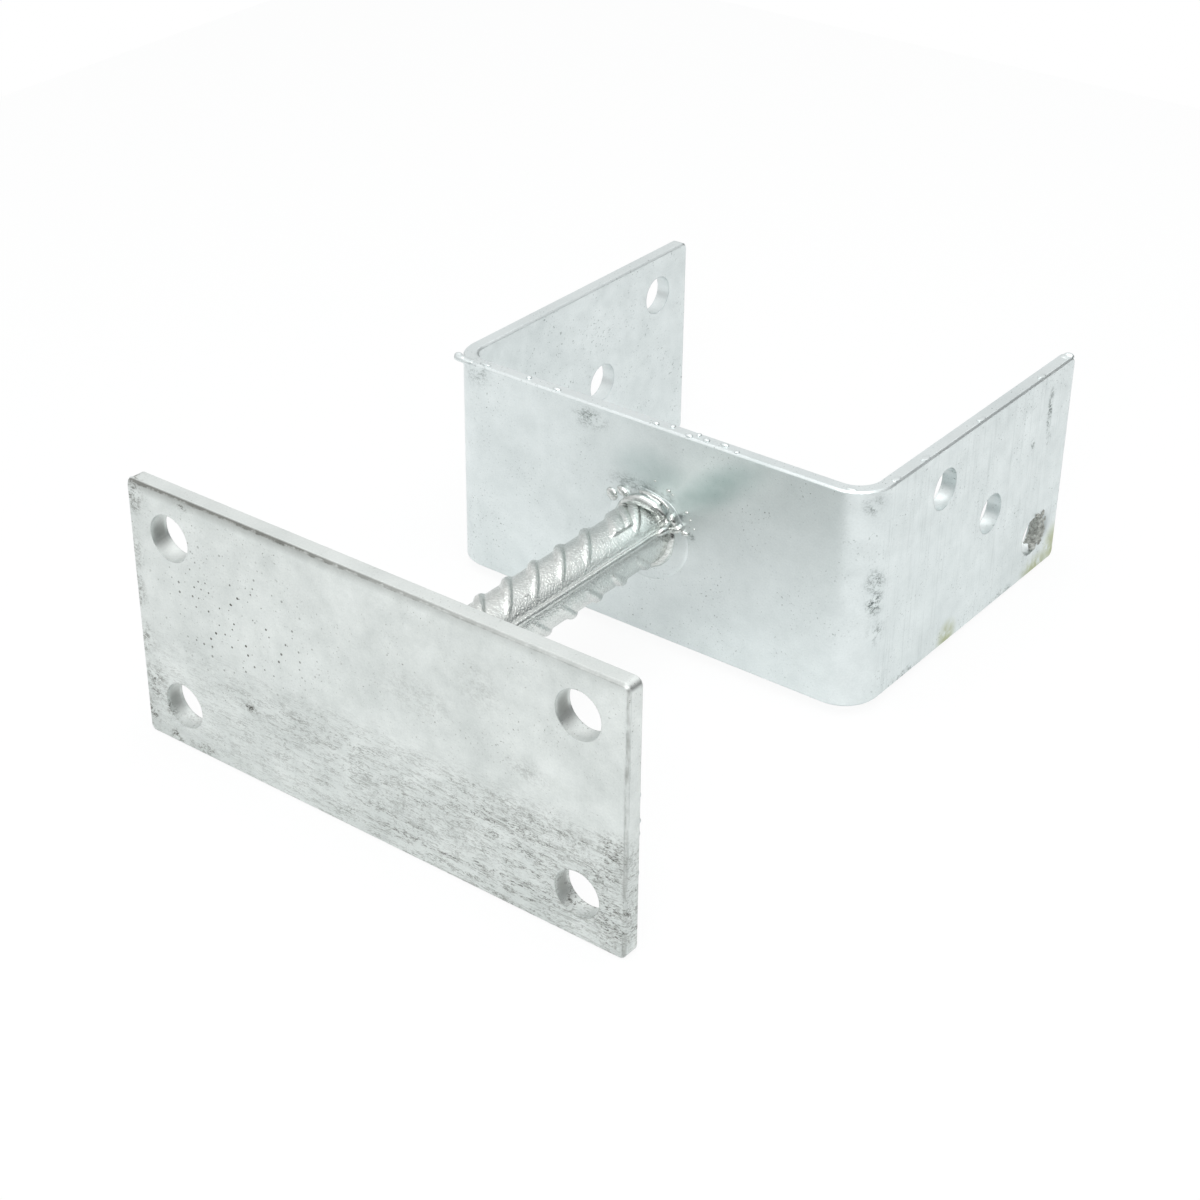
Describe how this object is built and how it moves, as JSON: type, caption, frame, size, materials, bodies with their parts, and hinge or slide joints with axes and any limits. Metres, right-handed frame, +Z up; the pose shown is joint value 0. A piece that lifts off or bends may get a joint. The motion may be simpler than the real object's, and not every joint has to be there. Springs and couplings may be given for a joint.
{
  "type": "timber post base",
  "caption": "Galvanised timber post base: anchor plate, ribbed steel bar and a folded U bracket whose ears are drilled for bolts and screws.",
  "frame": {"origin": "centre of the anchor plate's underside", "axes": "+Z up along the bar towards the post, +X along the anchor plate's long side and square to the two ears, +Y along the strip's width"},
  "size_m": [0.145, 0.07, 0.207],
  "materials": {
    "plate_zinc": "hot-dip galvanised, dull pale grey with faint rolling streaks",
    "bracket_zinc": "hot-dip galvanised, dull pale grey with cloudy mottling",
    "bar_zinc": "hot-dip galvanised, bright and glossy, slightly rippled",
    "weld_zinc": "hot-dip galvanised over a rough weld, lumpy and glossy",
    "zinc_ash": "dark matt ash and dross left by the zinc bath"
  },
  "bodies": {
    "root": {"base_plate": "plate_zinc", "ribbed_bar": "bar_zinc", "post_bracket": "bracket_zinc", "base_weld": "weld_zinc", "bracket_weld": "weld_zinc"}
  },
  "joints": []
}
